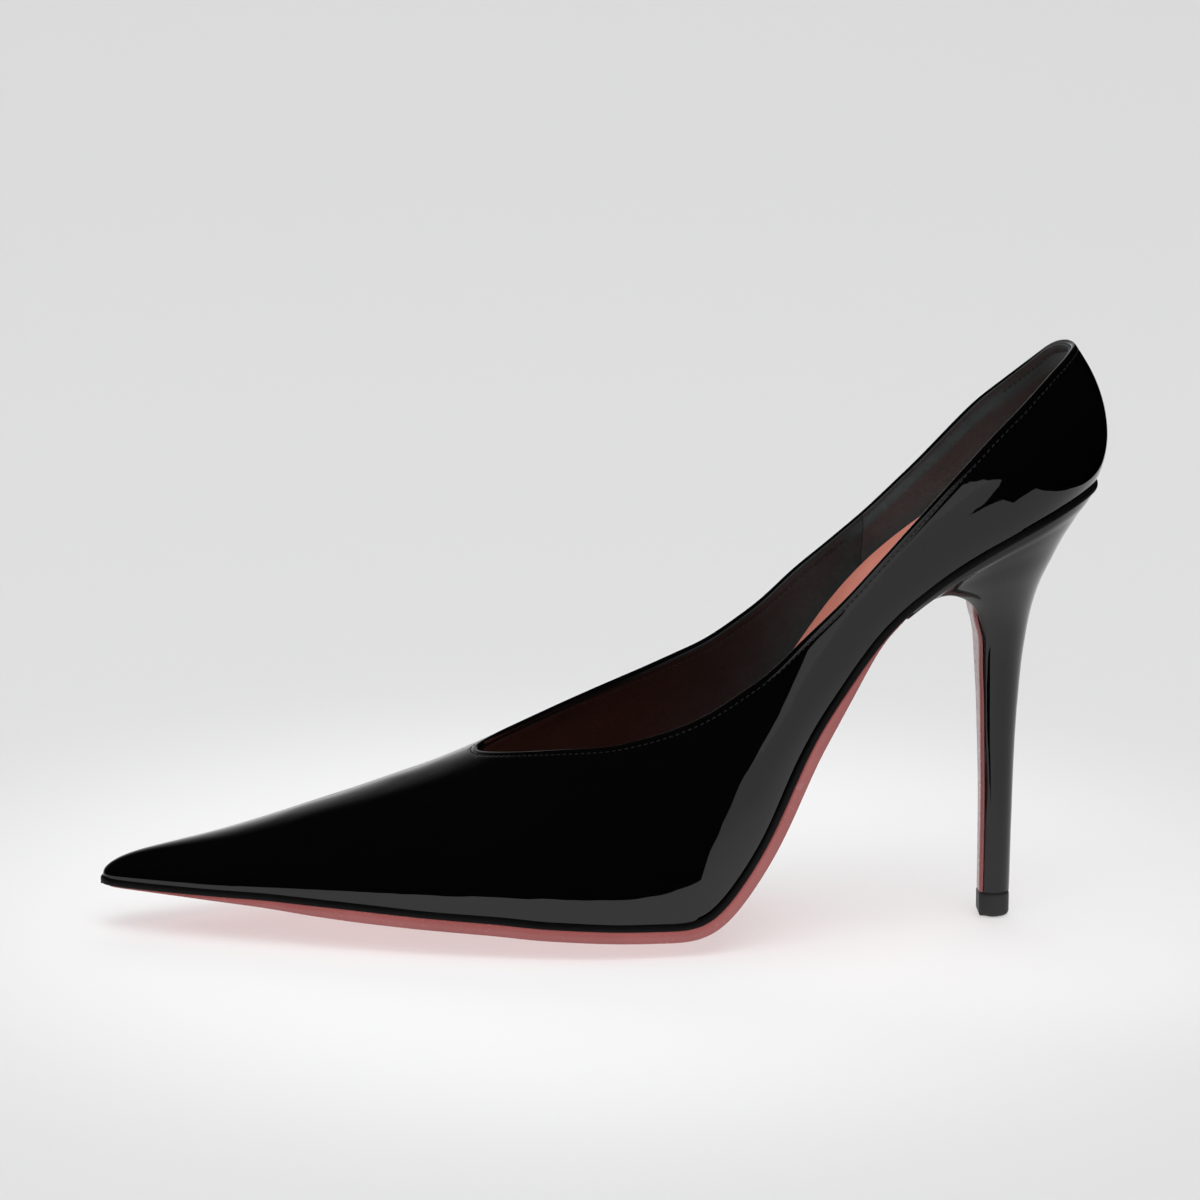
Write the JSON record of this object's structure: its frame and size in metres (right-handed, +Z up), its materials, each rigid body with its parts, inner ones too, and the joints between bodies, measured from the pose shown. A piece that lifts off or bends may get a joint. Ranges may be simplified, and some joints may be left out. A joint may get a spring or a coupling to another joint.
{
  "type": "high heel pump",
  "caption": "Pointed-toe closed-back pump with a slim tall heel, glossy black upper and heel, thin coral sole and coral sock. Left shoe.",
  "frame": {"origin": "middle of the length and width of the shoe, on the ground", "axes": "+X towards the heel along the shoe, +Y towards the inner (medial) side, +Z up; the toe points to -X"},
  "size_m": [0.2438, 0.0742, 0.142],
  "materials": {
    "patent_leather": "black patent, mirror gloss",
    "lining_leather": "black matt lining leather",
    "stiffener": "matt stiffener sheet",
    "insole_board": "pressed fibre board",
    "filler": "matt filler board",
    "foam": "soft foam",
    "sock_leather": "coral smooth leather",
    "rand": "black edge-dressed strip",
    "sole_leather": "coral lacquered leather",
    "heel_plastic": "moulded",
    "steel": "plain steel",
    "lift_rubber": "dark matt"
  },
  "bodies": {
    "root": {"upper": "patent_leather", "vamp_lining": "lining_leather", "heel_lining": "lining_leather", "toe_puff": "stiffener", "heel_counter": "stiffener", "insole_board": "insole_board", "shank": "steel", "shank_rivet_front": "steel", "shank_rivet_rear": "steel", "bottom_filler": "filler", "waist_filler": "filler", "sock_foam": "foam", "sock": "sock_leather", "rand": "rand", "outsole": "sole_leather", "breast_cover": "sole_leather", "heel_block": "heel_plastic", "heel_wrap": "patent_leather", "heel_tube": "steel", "heel_screw": "steel", "heel_nail_1": "steel", "heel_nail_2": "steel", "heel_nail_3": "steel", "heel_nail_4": "steel", "top_lift": "lift_rubber", "top_lift_pin": "steel"}
  },
  "joints": []
}
